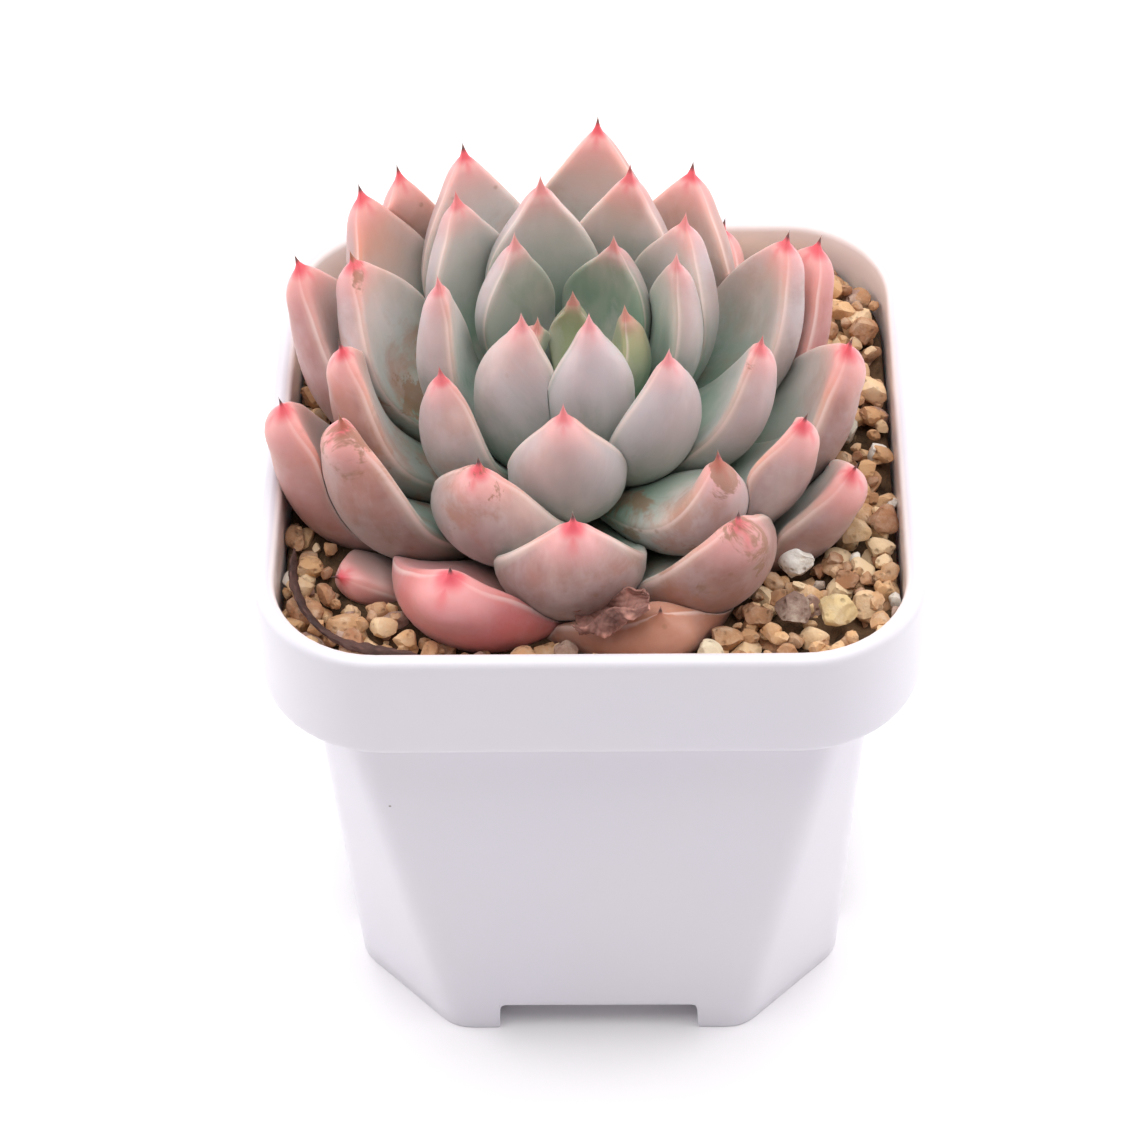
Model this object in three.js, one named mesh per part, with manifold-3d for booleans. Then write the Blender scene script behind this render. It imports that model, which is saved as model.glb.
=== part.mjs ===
// Potted rosette succulent: a square moulded pot with a deep rolled collar, filled with potting mix,
// topped with grit, and planted with a rosette of thick pointed leaves on one short stem.
// Millimetres, +Z up. The origin is the middle of the pot's footprint, on the surface it stands on.
// The leaves follow the golden-angle spiral, youngest in the middle, and each later leaf is trimmed
// where the leaves inside it press against it.
import * as THREE from "three";
import { mergeVertices } from "three/addons/utils/BufferGeometryUtils.js";
import Module from "manifold-3d";

const wasm = await Module();
wasm.setup();

const gap = 0.3; // clear space left between touching pieces
const rad = THREE.MathUtils.degToRad;
const { lerp } = THREE.MathUtils;

// ---------------------------------------------------------------- driving sizes
const pot = {
  width: 75, // across the flats of the collar
  height: 75,
  collarHeight: 15,
  collarCorner: 14.3, // outer corner radius of the collar
  lipWall: 2.3, // collar wall at the mouth
  lipRound: 1.0, // rounding on both edges of the mouth
  baseWidth: 60, // across the flats of the foot
  shoulderWidth: 63.6, // body width right under the collar
  baseChamfer: 12, // corner cut at the foot
  shoulderChamfer: 3.8, // corner cut right under the collar
  wall: 1.6, // body wall, floor and collar ledge
  footHeight: 4.5, // the floor hangs this far above the table
  footNotch: 24.6, // width of the opening between two feet
  footWall: 2.6, // the skirt under the floor is thicker than the body
  drainRadius: 1.75,
  drainPitch: 13, // spacing of the three by three drain holes
};
const fill = {
  gritTop: 5, // mean depth of the grit surface below the mouth
  gritDepth: 5.5, // thickness of the grit layer
  gritBump: 0.7, // stones stand this far above and below the mean
};
const rosette = {
  centre: [-2.5, 1.5], // the stem stands a little off the pot's axis
  turnOfSeventh: 231, // azimuth of leaf 7, degrees from +X towards +Y
  goldenAngle: 137.508,
  stemRadius: 3.4,
  crown: 2.5, // height of the youngest leaf's base above the mouth
  crownDrop: 13, // the oldest leaf is attached this much lower
};

// One row per leaf, from the youngest: [turn off the spiral in degrees, how far the tip reaches
// from the stem, height of the tip above the pot's mouth, share of the usual width].
const leafPlan = [
  [-29, 4.5, 15, 1.05],
  [33, 5, 17.5, 0.95],
  [-30, 1.6, 16, 1.1],
  [0, 11, 19.5, 1.25],
  [4, 9, 24, 1.05],
  [-17, 9.4, 22, 1],
  [8, 13, 22, 1],
  [1, 7.9, 22, 1],
  [8, 15.3, 24, 1.2],
  [0, 16, 21, 1.05],
  [1, 14.4, 22, 0.85],
  [-3, 17.2, 22, 1.1],
  [6, 16.6, 18, 1.05],
  [5, 19.6, 22, 1],
  [-3, 22.7, 18, 0.95],
  [6, 17.5, 18, 0.8],
  [-4, 20.6, 22, 1.05],
  [14, 26, 14, 0.9],
  [5, 25.8, 19.5, 1.1],
  [1, 27.3, 19.5, 1.05],
  [2, 22.8, 14, 1.1],
  [10, 28.5, 20.2, 1.05],
  [1, 31, 15.5, 1],
  [0, 26, 17, 0.95],
  [4, 27, 19.5, 1.05],
  [-4, 28.3, 13, 1.08],
  [0, 33, 17.2, 0.88],
  [-5, 32.3, 14.5, 1.05],
  [-11, 29.5, 16, 1],
  [-2, 31.4, 19.5, 1.15],
  [-2, 32, 10.5, 1.1],
  [-7, 32.6, 17.5, 0.88],
  [-6, 33, 14.5, 0.85],
  [-9, 32, 6, 1.3],
  [9, 33.8, 16, 0.82],
  [-7, 36.2, 8, 1],
  [-7, 33.6, 12.5, 0.9],
  [-11, 32, 8, 0.9],
  [0, 33.2, 1.5, 1.25],
  [0, 31.5, 6, 0.9],
  [-8, 31.5, 3.5, 0.8],
  [-15, 35.2, -2.6, 0.72],
];
// Leaves that stand straighter (+) or lean out more (-) at the tip than their neighbours, in degrees,
// and leaves with a more drawn-out point.
const lean = { 12: 12, 17: 12, 20: 10, 22: -4, 25: 17, 28: 5, 30: 12, 33: 20, 35: -4, 36: 6, 38: 12 };
const sharpness = { 13: 1.3, 16: 1.3, 21: 1.3, 24: 1.3, 29: 1.3, 34: 1.2 };
const flatLeaf = 41; // the one that has sunk onto the grit, without curled margins
const leafWidth = { youngest: 5, oldest: 18.6, growth: 0.45 };
const leafThickness = { youngest: 2.4, oldest: 6 };

// Loose stones on the grit: [across, back, size, squash, turn]. The first two are shares of the way
// from the pot's axis to the inner wall, size is half the long side in millimetres.
const looseStones = {
  stone_white_pumice: [0.67, -0.5, 2.5, 0.85, 20],
  stone_cream: [0.38, -0.91, 1.9, 0.75, 60],
  stone_brown: [0.64, -0.72, 2.4, 0.7, 100],
  stone_yellow: [0.78, -0.72, 2.6, 0.62, 150],
  stone_buff: [0.84, -0.38, 2.5, 0.75, 200],
  stone_grey: [0.84, 0.1, 2.2, 0.7, 250],
};
// The dry strip's course: [from the left wall, from the front wall, above the grit's mean surface].
const stripCourse = [
  [1.8, 17.7, 2.8],
  [2, 13.2, 2],
  [4, 8.4, 1.6],
  [7.6, 4.6, 1.7],
  [12.4, 2.5, 2.1],
  [16.8, 1.9, 1.8],
];

// ---------------------------------------------------------------- materials
const finish = (color, roughness) => new THREE.MeshStandardMaterial({ color, roughness, metalness: 0 });
const materials = {
  plastic: finish(0xefedf2, 0.35),
  soil: finish(0x3d2b20, 0.95),
  grit: finish(0xc79d6d, 0.9),
  stem: finish(0x8a7a58, 0.8),
  youngLeaf: finish(0x8fa48a, 0.55),
  leaf: finish(0xb9a7a3, 0.55),
  oldLeaf: finish(0xd28a86, 0.55),
  pumice: finish(0xe9e4da, 0.9),
  dry: finish(0x6d4a42, 0.9),
};

// ---------------------------------------------------------------- solids and booleans
function solid(geometry) {
  const bare = geometry.clone();
  for (const name of Object.keys(bare.attributes)) {
    if (name !== "position") bare.deleteAttribute(name);
  }
  const merged = mergeVertices(bare, 1e-4);
  return new wasm.Manifold(
    new wasm.Mesh({
      numProp: 3,
      vertProperties: merged.attributes.position.array,
      triVerts: new Uint32Array(merged.index.array),
    }),
  );
}

function geometryOf(manifold) {
  const { vertProperties, triVerts } = manifold.getMesh();
  const geometry = new THREE.BufferGeometry();
  geometry.setAttribute("position", new THREE.BufferAttribute(vertProperties, 3));
  geometry.setIndex(new THREE.BufferAttribute(triVerts, 1));
  geometry.computeVertexNormals();
  return geometry;
}

// The largest body that a cut leaves, with slivers smaller than a printer could make taken out.
function mainBody(manifold, finest = 0.03) {
  const bodies = manifold.simplify(finest).decompose();
  return bodies.reduce((best, body) => (body.volume() > best.volume() ? body : best));
}

// A closed skin over a stack of equal rings, capped at both ends by a middle point.
function loft(rings, first, last) {
  const count = rings[0].length;
  const points = [first, ...rings.flat(), last];
  const faces = [];
  const at = (ring, i) => 1 + ring * count + (i % count);
  for (let i = 0; i < count; i++) faces.push(0, at(0, i + 1), at(0, i));
  for (let ring = 0; ring + 1 < rings.length; ring++) {
    for (let i = 0; i < count; i++) {
      faces.push(at(ring, i), at(ring, i + 1), at(ring + 1, i + 1));
      faces.push(at(ring, i), at(ring + 1, i + 1), at(ring + 1, i));
    }
  }
  const end = points.length - 1;
  for (let i = 0; i < count; i++) faces.push(end, at(rings.length - 1, i), at(rings.length - 1, i + 1));
  const geometry = new THREE.BufferGeometry();
  geometry.setAttribute("position", new THREE.Float32BufferAttribute(points.flat(), 3));
  geometry.setIndex(faces);
  return geometry;
}

function mesh(name, geometry, material) {
  const made = new THREE.Mesh(geometry, material);
  made.name = name;
  return made;
}

// ---------------------------------------------------------------- pot
const cornerPoints = 8;

// A square ring with rounded corners, counter-clockwise from above.
function roundedRing(width, radius, z) {
  const ring = [];
  for (let corner = 0; corner < 4; corner++) {
    for (let i = 0; i < cornerPoints; i++) {
      const angle = rad(90 * corner + (90 * i) / (cornerPoints - 1));
      const middle = rad(90 * corner + 45);
      const reach = (width / 2 - radius) * Math.SQRT2;
      ring.push([
        reach * Math.cos(middle) + radius * Math.cos(angle),
        reach * Math.sin(middle) + radius * Math.sin(angle),
        z,
      ]);
    }
  }
  return ring;
}

// A square ring with its corners cut straight across, the two edges of each cut softened.
function chamferedRing(width, chamfer, soft, z) {
  const half = width / 2;
  const along = [-1, -0.62, -0.3, -0.08];
  const profile = [
    ...along.map((t) => [half - softening(t, soft), half - chamfer + t * soft]),
    ...along.map((t) => [half - chamfer + t * soft, half - softening(t, soft)]).reverse(),
  ];
  const ring = [];
  for (let corner = 0; corner < 4; corner++) {
    const turn = rad(90 * corner);
    for (const [x, y] of profile) {
      ring.push([
        x * Math.cos(turn) - y * Math.sin(turn),
        x * Math.sin(turn) + y * Math.cos(turn),
        z,
      ]);
    }
  }
  return ring;
}

// How far the wall has turned in, t of the way through the softened edge of a corner cut.
function softening(t, soft) {
  return 0.2 * soft * (1 + t) ** 2;
}

function bodyRing(z, inset) {
  const share = z / (pot.height - pot.collarHeight);
  const width = lerp(pot.baseWidth, pot.shoulderWidth, share);
  const chamfer = lerp(pot.baseChamfer, pot.shoulderChamfer, share);
  const soft = Math.min(2, chamfer / 2);
  return chamferedRing(width - 2 * inset, Math.max(chamfer - 0.6 * inset, soft), soft, z);
}

const shoulder = pot.height - pot.collarHeight;
const floorTop = pot.footHeight + pot.wall;
const mouthWidth = pot.width - 2 * pot.lipWall;
const mouthCorner = pot.collarCorner - pot.lipWall;
const ledge = shoulder + pot.wall;

function makePot() {
  const collar = (inset, z) => roundedRing(pot.width - 2 * inset, pot.collarCorner - inset, z);
  const round = pot.lipRound;
  const rings = [
    bodyRing(pot.footHeight, pot.footWall),
    bodyRing(0, pot.footWall),
    bodyRing(0, 0),
    bodyRing(shoulder * 0.5, 0),
    bodyRing(shoulder, 0),
    collar(round, shoulder),
    collar(0.3 * round, shoulder + 0.3 * round),
    collar(0, shoulder + round),
    collar(0, pot.height - round),
    collar(0.3 * round, pot.height - 0.3 * round),
    collar(round, pot.height),
    collar(pot.lipWall - 0.3 * round, pot.height - 0.3 * round),
    collar(pot.lipWall, pot.height - round),
    collar(pot.lipWall, ledge),
    bodyRing(ledge, pot.wall),
    bodyRing(floorTop, pot.wall),
  ];
  let body = solid(loft(rings, [0, 0, pot.footHeight], [0, 0, floorTop]));
  const run = pot.width;
  const notch = new THREE.BoxGeometry(pot.footNotch, run, pot.footHeight * 2);
  body = body.subtract(solid(notch));
  body = body.subtract(solid(notch.clone().rotateZ(Math.PI / 2)));
  const drain = new THREE.CylinderGeometry(pot.drainRadius, pot.drainRadius, pot.wall * 4, 10);
  drain.rotateX(Math.PI / 2);
  for (const x of [-1, 0, 1]) {
    for (const y of [-1, 0, 1]) {
      const hole = drain.clone().translate(x * pot.drainPitch, y * pot.drainPitch, floorTop);
      body = body.subtract(solid(hole));
    }
  }
  return body;
}

// ---------------------------------------------------------------- leaves
const oldest = leafPlan.length - 1;
const mouth = pot.height;

function leafShape(n) {
  const [nudge, reach, rise, broad] = leafPlan[n];
  const age = n / oldest;
  return {
    turn: rad(rosette.turnOfSeventh + rosette.goldenAngle * (7 - n) + nudge),
    base: [rosette.stemRadius * (0.45 + 0.55 * age), mouth + rosette.crown - rosette.crownDrop * age ** 0.6],
    tip: [reach, mouth + rise],
    leave: rad(lerp(48, -2, Math.sqrt(age))), // climb at the stem
    arrive: rad(lerp(92, 68, Math.sqrt(age)) + (lean[n] ?? 0)), // climb at the tip
    out: lerp(0.45, 0.7, Math.sqrt(age)), // how long it keeps its first heading
    up: lerp(0.45, 0.5, age),
    width: broad * lerp(leafWidth.youngest, leafWidth.oldest, age ** leafWidth.growth),
    thickness: Math.sqrt(broad) * lerp(leafThickness.youngest, leafThickness.oldest, age ** 0.5),
    cup: n === flatLeaf ? 0.03 : lerp(0.12, 0.2, age), // how far the margins curl inwards, as a share of the half width
    full: lerp(1.7, 2.1, age), // how far the full width is carried towards the tip
    sharp: sharpness[n] ?? lerp(1.2, 0.95, age), // how drawn out the point is
  };
}

// The midrib as a cubic curve in the leaf's own upright plane: outwards first, then up.
function midrib(shape) {
  const [r0, z0] = shape.base;
  const [r3, z3] = shape.tip;
  const chord = Math.hypot(r3 - r0, z3 - z0);
  const low = z3 < mouth; // the lowest leaf lies on the grit with only its point turned up
  const arrive = low ? rad(30) : shape.arrive;
  const out = shape.out * chord;
  const up = shape.up * Math.min(chord, 1.6 * (z3 - z0));
  return new THREE.CubicBezierCurve(
    new THREE.Vector2(r0, z0),
    new THREE.Vector2(r0 + out * Math.cos(shape.leave), z0 + out * Math.sin(shape.leave)),
    new THREE.Vector2(r3 - up * Math.cos(arrive), z3 - up * Math.sin(arrive)),
    new THREE.Vector2(r3, z3),
  );
}

// Half outline of a leaf: a waisted base, the widest point past the middle, then a drawn-out point.
function halfOutline(s, { full, sharp }) {
  const widest = 0.6;
  if (s < widest) return 0.5 * (0.5 + 0.5 * Math.sin((Math.PI / 2) * (s / widest)));
  const u = (s - widest) / (1 - widest);
  return 0.5 * (1 - u ** full) ** sharp;
}

const stations = [0, 0.14, 0.3, 0.46, 0.6, 0.74, 0.86, 0.95];
const upperFace = [1, 0.5, 0, -0.5, -1];
const lowerFace = [-0.6, 0, 0.6];

function leafSolid(n, grow = 0) {
  const shape = leafShape(n);
  const rib = midrib(shape);
  const radial = [Math.cos(shape.turn), Math.sin(shape.turn)];
  const across = [-Math.sin(shape.turn), Math.cos(shape.turn)];
  const place = (s, x, h) => {
    const p = rib.getPointAt(s);
    const t = rib.getTangentAt(s);
    const r = p.x - t.y * h;
    return [
      rosette.centre[0] + radial[0] * r + across[0] * x,
      rosette.centre[1] + radial[1] * r + across[1] * x,
      p.y + t.x * h,
    ];
  };
  const rings = stations.map((s) => {
    const half = shape.width * halfOutline(s, shape) + grow;
    const body = shape.thickness * Math.sin(Math.PI * (0.16 + 0.78 * s)) ** 0.8 + 0.5;
    const curl = shape.cup * half;
    const upper = upperFace.map((x) => place(s, x * half, curl * x * x * 1.6 + grow));
    const lower = lowerFace.map((x) =>
      place(s, x * half, curl * x * x - body * (1 - Math.abs(x) ** 1.8) - grow),
    );
    return [...upper, ...lower];
  });
  const start = place(0, 0, -0.3 * shape.thickness);
  const end = place(1, 0, 0);
  if (grow > 0) {
    const push = rib.getTangentAt(1);
    end[0] += radial[0] * push.x * grow * 2;
    end[1] += radial[1] * push.x * grow * 2;
    end[2] += push.y * grow * 2;
  }
  return solid(loft(rings, start, end));
}

// ---------------------------------------------------------------- stem, mix, grit and loose pieces
function makeStem(grow = 0) {
  const top = mouth + rosette.crown;
  const r = rosette.stemRadius;
  const profile = [
    [0, mouth - 42 - grow],
    [1.2 + grow, mouth - 36 - grow],
    [0.8 * r + grow, mouth - 16],
    [r + grow, mouth - 7],
    [0.8 * r + grow, mouth - 1],
    [0.35 * r + grow, top - 1],
    [0, top + grow],
  ].map(([x, y]) => new THREE.Vector2(x, y));
  const lathe = new THREE.LatheGeometry(profile, 14);
  lathe.rotateX(Math.PI / 2).translate(rosette.centre[0], rosette.centre[1], 0);
  return solid(lathe);
}

// Hummocky surface that a layer of small stones makes.
function gritHeight(x, y) {
  const swell = Math.sin(1.37 * x + 0.6 * y) + Math.sin(1.13 * y - 0.8 * x + 1.9);
  const ripple = Math.sin(0.5 * x - 1.7 * y);
  return mouth - fill.gritTop + (fill.gritBump / 3) * (swell + ripple);
}

function shrunkRing(ring, share, z) {
  return ring.map(([x, y]) => [x * share, y * share, z(x * share, y * share)]);
}

function makeGrit() {
  const outline = roundedRing(mouthWidth - 2 * gap, mouthCorner - gap, 0);
  const bottom = mouth - fill.gritTop - fill.gritDepth;
  const shares = [1, 0.9, 0.8, 0.7, 0.6, 0.45, 0.25];
  const rings = [
    shrunkRing(outline, 1, () => bottom),
    ...shares.map((share) => shrunkRing(outline, share, gritHeight)),
  ];
  return solid(loft(rings, [0, 0, bottom], [0, 0, gritHeight(0, 0)]));
}

function makeSoil() {
  const top = mouth - fill.gritTop - fill.gritDepth - gap;
  const inset = pot.wall + gap;
  const collarInset = pot.lipWall + gap;
  const rings = [
    bodyRing(floorTop + gap, inset),
    bodyRing(ledge + gap, inset),
    roundedRing(pot.width - 2 * collarInset, pot.collarCorner - collarInset, ledge + gap),
    roundedRing(pot.width - 2 * collarInset, pot.collarCorner - collarInset, top),
  ];
  return solid(loft(rings, [0, 0, floorTop + gap], [0, 0, top]));
}

function makeStone([x, y, size, squash, turn], grow = 0) {
  const stone = new THREE.IcosahedronGeometry(size + grow, 1);
  const spot = stone.getAttribute("position");
  for (let i = 0; i < spot.count; i++) {
    const v = new THREE.Vector3().fromBufferAttribute(spot, i);
    const knock = 1 + 0.12 * Math.sin(2.1 * v.x + turn) * Math.cos(1.7 * v.y - turn);
    spot.setXYZ(i, v.x * knock, v.y * knock * 0.84, v.z * squash * knock);
  }
  const wall = mouthWidth / 2;
  stone.rotateZ(rad(turn)).translate(x * wall, y * wall, mouth - fill.gritTop + size * squash * 0.55);
  return solid(stone);
}

// A withered scrap of an old leaf caught between two leaves at the front.
function makeDryLeaf() {
  const scrap = new THREE.IcosahedronGeometry(1, 2);
  const spot = scrap.getAttribute("position");
  for (let i = 0; i < spot.count; i++) {
    const v = new THREE.Vector3().fromBufferAttribute(spot, i);
    const fold = 1 + 0.22 * Math.sin(4 * v.x + 2 * v.z) * Math.cos(5 * v.y);
    spot.setXYZ(i, v.x * 4 * fold, v.y * 1.7 * fold, v.z * 2.1 * fold);
  }
  scrap.rotateY(rad(-24)).rotateZ(rad(10)).translate(2.4, -30, mouth + 0.6);
  return solid(scrap);
}

// A dry strip of old flower stalk that lies in the front left corner against the wall.
function makeDryStrip(grow = 0) {
  const wall = mouthWidth / 2;
  const surface = mouth - fill.gritTop;
  const route = new THREE.CatmullRomCurve3(
    stripCourse.map(([left, front, lift]) => new THREE.Vector3(left - wall, front - wall, surface + lift)),
  );
  const section = new THREE.Shape();
  section.absellipse(0, 0, 0.55 + grow, 0.95 + grow, 0, 2 * Math.PI);
  const strip = new THREE.ExtrudeGeometry(section, { steps: 16, curveSegments: 4, extrudePath: route });
  return solid(strip);
}

// ---------------------------------------------------------------- fitting the pieces together
const nextTo = (a, b) => {
  const [p, q] = [a.boundingBox(), b.boundingBox()];
  return [0, 1, 2].every((i) => p.min[i] < q.max[i] && q.min[i] < p.max[i]);
};
const cutBy = (piece, tools) =>
  tools.reduce((left, tool) => (nextTo(left, tool) ? left.subtract(tool) : left), piece);

const grownStem = makeStem(gap);

// The collar and the air right around it, which the leaves rest against.
function makeRimSpace() {
  const outside = [shoulder, mouth + gap].map((z) => roundedRing(pot.width + 2 * gap, pot.collarCorner + gap, z));
  const inside = [shoulder - 1, mouth + 1].map((z) => roundedRing(mouthWidth - 2 * gap, mouthCorner - gap, z));
  const block = solid(loft(outside, [0, 0, shoulder], [0, 0, mouth + gap]));
  return block.subtract(solid(loft(inside, [0, 0, shoulder - 1], [0, 0, mouth + 1])));
}

const fixedSpace = [grownStem, makeRimSpace()];

const leafSolids = [];
const grownLeaves = [];
for (let n = 0; n <= oldest; n++) {
  const trimmed = cutBy(leafSolid(n), [...fixedSpace, ...grownLeaves]);
  leafSolids.push(mainBody(trimmed, 0.08));
  grownLeaves.push(leafSolid(n, gap));
}

const plant = new THREE.Group();
plant.add(mesh("pot", geometryOf(makePot()), materials.plastic));
plant.add(mesh("stem", geometryOf(makeStem()), materials.stem));
const soil = mainBody(cutBy(makeSoil(), [grownStem, ...grownLeaves]));
plant.add(mesh("potting_mix", geometryOf(soil), materials.soil));

const youngCount = 9;
const oldFrom = 33;
leafSolids.forEach((leaf, n) => {
  let material = materials.leaf;
  if (n < youngCount) material = materials.youngLeaf;
  if (n >= oldFrom) material = materials.oldLeaf;
  plant.add(mesh(`leaf_${String(n + 1).padStart(2, "0")}`, geometryOf(leaf), material));
});

const strip = makeDryStrip();
plant.add(mesh("dry_stalk_strip", geometryOf(mainBody(cutBy(strip, grownLeaves))), materials.dry));
const dryLeaf = mainBody(cutBy(makeDryLeaf(), grownLeaves));
plant.add(mesh("dry_leaf_scrap", geometryOf(dryLeaf), materials.dry));

const grownLoose = [makeDryStrip(gap)];
for (const [name, plan] of Object.entries(looseStones)) {
  const stone = mainBody(cutBy(makeStone(plan), grownLeaves));
  plant.add(mesh(name, geometryOf(stone), name === "stone_white_pumice" ? materials.pumice : materials.grit));
  grownLoose.push(makeStone(plan, gap));
}
const grit = cutBy(makeGrit(), [grownStem, ...grownLeaves, ...grownLoose]);
plant.add(mesh("grit_layer", geometryOf(mainBody(grit, 0.1)), materials.grit));

export default plant;
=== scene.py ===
import itertools
import math

import bmesh
import bpy
import numpy as np
from mathutils import Matrix, Quaternion, Vector
from mathutils.bvhtree import BVHTree


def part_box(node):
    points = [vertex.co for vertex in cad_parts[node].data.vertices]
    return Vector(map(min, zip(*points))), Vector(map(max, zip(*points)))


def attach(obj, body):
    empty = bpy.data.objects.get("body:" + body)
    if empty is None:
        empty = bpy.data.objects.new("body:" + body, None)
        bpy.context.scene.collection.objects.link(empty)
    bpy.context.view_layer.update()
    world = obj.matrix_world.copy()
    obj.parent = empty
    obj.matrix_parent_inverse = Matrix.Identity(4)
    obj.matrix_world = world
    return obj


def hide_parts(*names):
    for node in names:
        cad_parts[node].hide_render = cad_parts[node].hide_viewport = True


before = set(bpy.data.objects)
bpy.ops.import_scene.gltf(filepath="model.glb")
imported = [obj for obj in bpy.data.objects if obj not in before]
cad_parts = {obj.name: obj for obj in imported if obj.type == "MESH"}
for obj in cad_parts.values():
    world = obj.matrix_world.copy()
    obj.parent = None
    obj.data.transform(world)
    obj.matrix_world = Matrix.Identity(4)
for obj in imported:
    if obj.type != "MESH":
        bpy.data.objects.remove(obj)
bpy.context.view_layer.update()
mm = 0.001  # everything below is worked out in millimetres and made in metres
print("frame loaded")

# The camera looks down on the pot from the front, a little to the right of it.
cameraPlan = {
    "place": (6.99, -304.35, 366.08),
    "lookDown": 45.969,
    "turn": -1.866,
    "roll": -1.681,
    "lens": 114.98,
}


def makeCamera(plan):
    down, turn, roll = (math.radians(plan[k]) for k in ("lookDown", "turn", "roll"))
    ahead = Vector(
        (math.sin(turn) * math.cos(down), math.cos(turn) * math.cos(down), -math.sin(down))
    )
    side = Vector((math.cos(turn), -math.sin(turn), 0))
    up = side.cross(ahead)
    camera = bpy.data.objects.new("camera", bpy.data.cameras.new("camera"))
    bpy.context.scene.collection.objects.link(camera)
    right = math.cos(roll) * side + math.sin(roll) * up
    top = -math.sin(roll) * side + math.cos(roll) * up
    turned = Matrix((right, top, -ahead)).transposed().to_4x4()
    camera.matrix_world = Matrix.Translation(Vector(plan["place"]) * mm) @ turned
    camera.data.lens = plan["lens"]
    camera.data.sensor_width = 36
    camera.data.clip_start = 0.01
    camera.data.clip_end = 10
    bpy.context.scene.camera = camera


makeCamera(cameraPlan)


# small helpers shared by all pieces
def addMesh(name, points, faces, smooth=True):
    mesh = bpy.data.meshes.new(name)
    mesh.from_pydata((np.asarray(points) * mm).tolist(), [], [list(f) for f in faces])
    mesh.update()
    if smooth:
        mesh.polygons.foreach_set("use_smooth", [True] * len(mesh.polygons))
    piece = bpy.data.objects.new(name, mesh)
    bpy.context.scene.collection.objects.link(piece)
    return piece


def addValues(piece, name, values):
    layer = piece.data.attributes.new(name, "FLOAT", "POINT")
    layer.data.foreach_set("value", np.asarray(values, np.float32))


def settle(piece, material, slot, *nodes):
    piece.data.materials.clear()
    piece.data.materials.append(material)
    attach(piece, "root")
    if nodes:
        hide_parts(*nodes)


def loftFaces(ringCount, count, firstPole, lastPole):
    def at(ring, i):
        return ring * count + i % count

    faces = [
        (at(ring, i), at(ring, i + 1), at(ring + 1, i + 1), at(ring + 1, i))
        for ring in range(ringCount - 1)
        for i in range(count)
    ]
    faces += [(firstPole, at(0, i + 1), at(0, i)) for i in range(count)]
    faces += [(lastPole, at(ringCount - 1, i), at(ringCount - 1, i + 1)) for i in range(count)]
    return faces


def smoothStep(low, high, value):
    t = np.clip((value - low) / (high - low), 0, 1)
    return t * t * (3 - 2 * t)


def mixed(a, b, t):
    return a + (b - a) * t


def cadBox(name):  # lowest and highest corner of a CAD node
    return [np.array(corner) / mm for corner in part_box(name)]


def paint(name, material):  # a CAD node that stays as it is gets a better material
    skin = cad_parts[name].data.materials
    skin.clear()
    skin.append(material)


class Nodes:  # builds one material's node tree
    def __init__(self, name):
        self.material = bpy.data.materials.new(name)
        self.material.use_nodes = True
        self.tree = self.material.node_tree
        self.shader = self.tree.nodes["Principled BSDF"]
        self.coords = self.tree.nodes.new("ShaderNodeTexCoord").outputs["Object"]

    def put(self, socket, value):
        if isinstance(value, bpy.types.NodeSocket):
            self.tree.links.new(value, socket)
        elif isinstance(value, tuple) and len(value) == 3 and socket.type == "RGBA":
            socket.default_value = (*value, 1)
        else:
            socket.default_value = value

    def set(self, **values):
        for name, value in values.items():
            self.put(self.shader.inputs[name.replace("_", " ")], value)

    def attribute(self, name):
        node = self.tree.nodes.new("ShaderNodeAttribute")
        node.attribute_name = name
        return node.outputs["Fac"]

    def math(self, operation, a, b=0.0, clamp=False):
        node = self.tree.nodes.new("ShaderNodeMath")
        node.operation = operation
        node.use_clamp = clamp
        self.put(node.inputs[0], a)
        self.put(node.inputs[1], b)
        return node.outputs[0]

    def span(self, value, low, high, toLow=0.0, toHigh=1.0, smooth=True):
        node = self.tree.nodes.new("ShaderNodeMapRange")
        node.interpolation_type = "SMOOTHSTEP" if smooth else "LINEAR"
        for i, v in enumerate((value, low, high, toLow, toHigh)):
            self.put(node.inputs[i], v)
        return node.outputs[0]

    def mix(self, factor, a, b):
        node = self.tree.nodes.new("ShaderNodeMix")
        node.data_type = "RGBA"
        self.put(node.inputs[0], factor)
        self.put(node.inputs[6], a)
        self.put(node.inputs[7], b)
        return node.outputs[2]

    def noise(self, scale, detail=3.0, rough=0.5, warp=0.0, where=None):
        node = self.tree.nodes.new("ShaderNodeTexNoise")
        self.put(node.inputs["Vector"], where or self.coords)
        for name, v in (("Scale", scale), ("Detail", detail), ("Roughness", rough), ("Distortion", warp)):
            node.inputs[name].default_value = v
        return node.outputs["Fac"]

    def cells(self, scale):
        node = self.tree.nodes.new("ShaderNodeTexVoronoi")
        self.put(node.inputs["Vector"], self.coords)
        node.inputs["Scale"].default_value = scale
        return node.outputs["Distance"]

    def stretched(self, scale):
        node = self.tree.nodes.new("ShaderNodeMapping")
        node.inputs["Scale"].default_value = scale
        self.put(node.inputs["Vector"], self.coords)
        return node.outputs[0]

    def bump(self, height, strength, distance):
        node = self.tree.nodes.new("ShaderNodeBump")
        node.inputs["Strength"].default_value = strength
        node.inputs["Distance"].default_value = distance
        self.put(node.inputs["Height"], height)
        self.put(self.shader.inputs["Normal"], node.outputs[0])


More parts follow.
